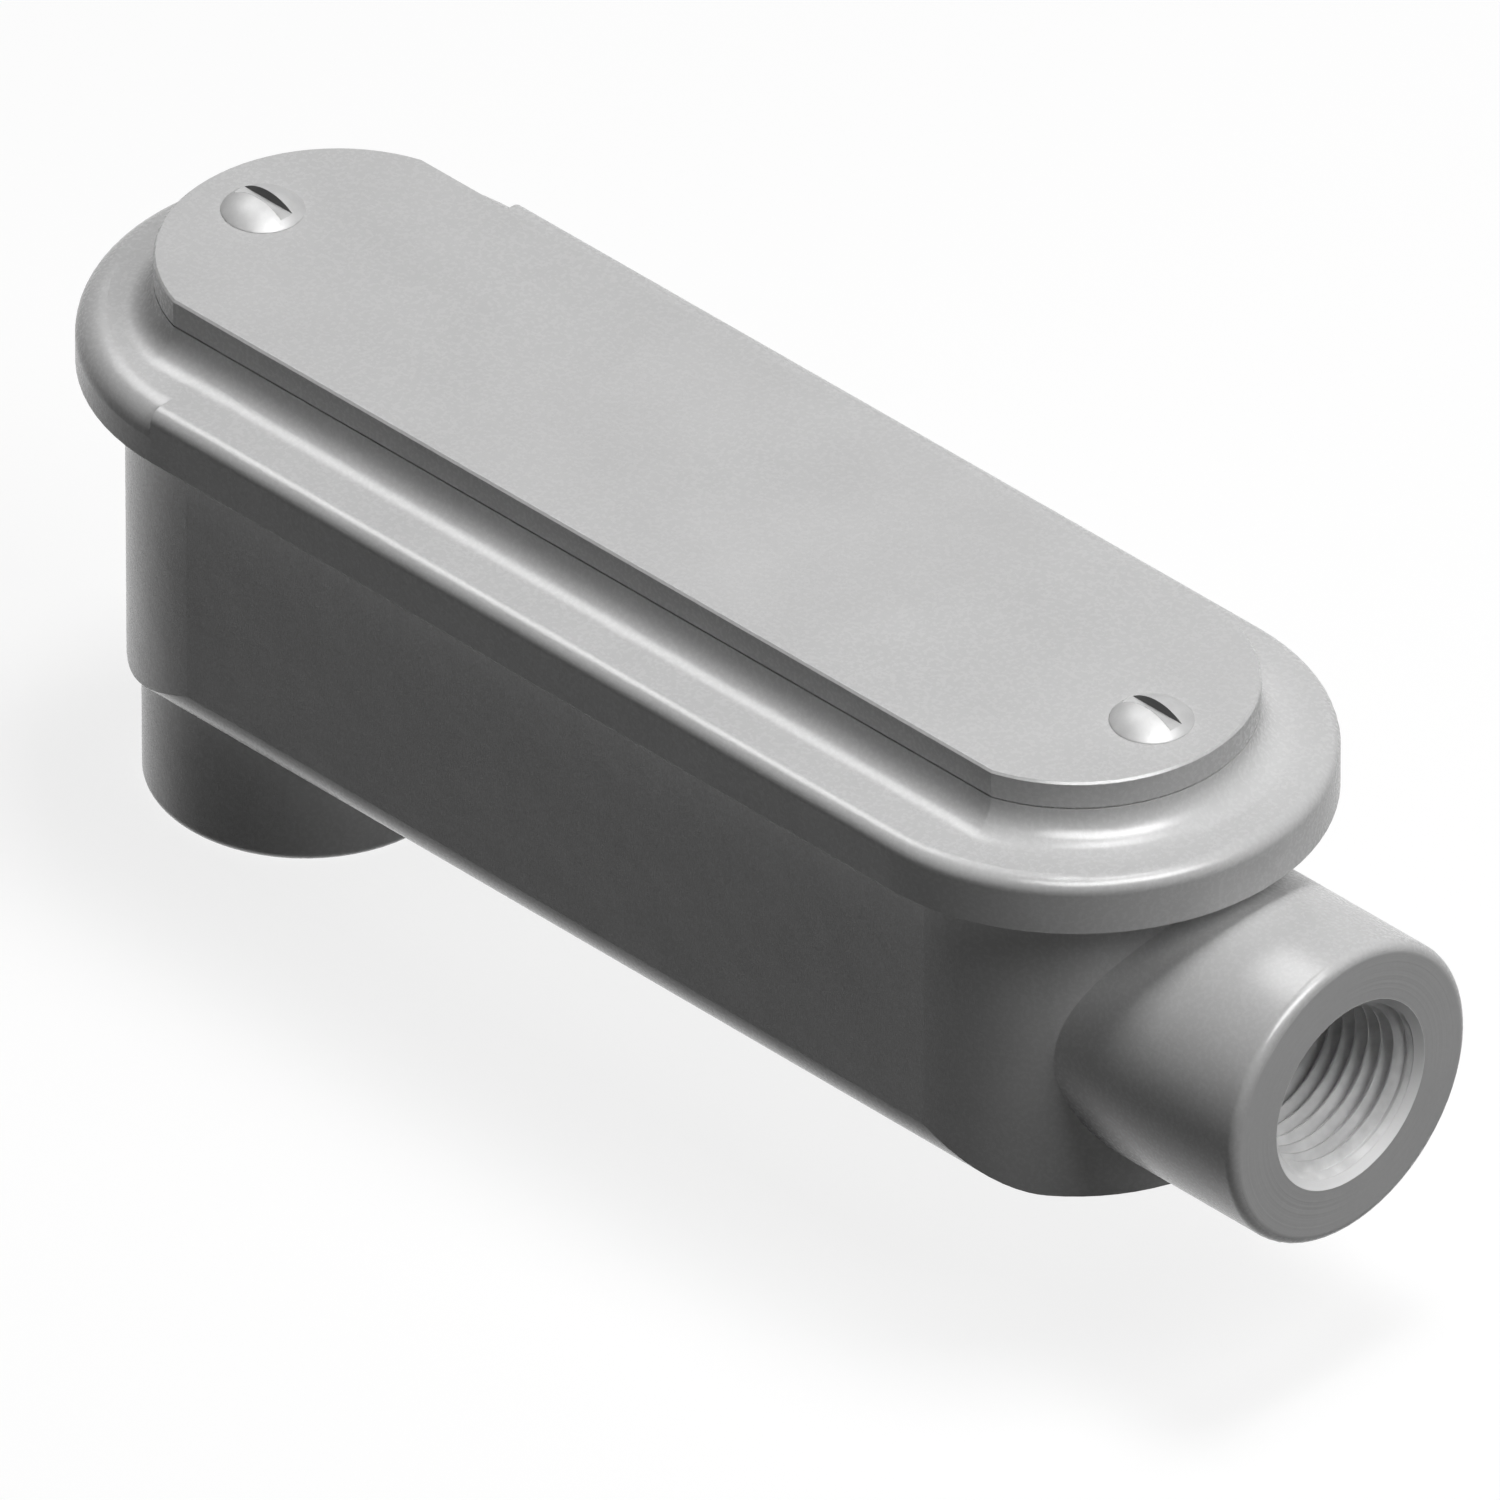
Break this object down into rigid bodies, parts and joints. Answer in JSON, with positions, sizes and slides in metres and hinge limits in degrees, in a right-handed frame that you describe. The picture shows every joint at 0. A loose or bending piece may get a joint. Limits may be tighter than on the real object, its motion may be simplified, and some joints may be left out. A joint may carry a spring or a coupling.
{
  "type": "conduit body",
  "caption": "Cast elbow-type conduit body: obround wire chamber with a screwed cover, a threaded hub on its end and one on its back.",
  "frame": {"origin": "centre of the back hub's mouth, on the face that meets the conduit", "axes": "+X along the wire chamber, out of the end hub; +Z out of the cover; the back hub's mouth faces -Z"},
  "size_m": [0.178, 0.0554, 0.0711],
  "materials": {
    "casting": "fine as-cast grey, machined hub faces",
    "cover": "fine as-cast grey",
    "gasket": "matt black",
    "screw": "bright zinc-plated"
  },
  "bodies": {
    "body": {"body_casting": "casting"},
    "cover": {"cover_plate": "cover", "cover_gasket": "gasket"},
    "screw_back_end": {"cover_screw_back_end": "screw"},
    "screw_hub_end": {"cover_screw_hub_end": "screw"}
  },
  "joints": [
    {"name": "cover_lift", "type": "slide", "parent": "body", "child": "cover", "axis": [0, 0, 1], "range_m": [0, 0.06]},
    {"name": "screw_turn_back_end", "type": "hinge", "parent": "cover", "child": "screw_back_end", "pos_m": [-0.0061, 0, 0.0692], "axis": [0, 0, 1], "continuous": true},
    {"name": "screw_turn_hub_end", "type": "hinge", "parent": "cover", "child": "screw_hub_end", "pos_m": [0.1259, 0, 0.0692], "axis": [0, 0, 1], "continuous": true}
  ]
}
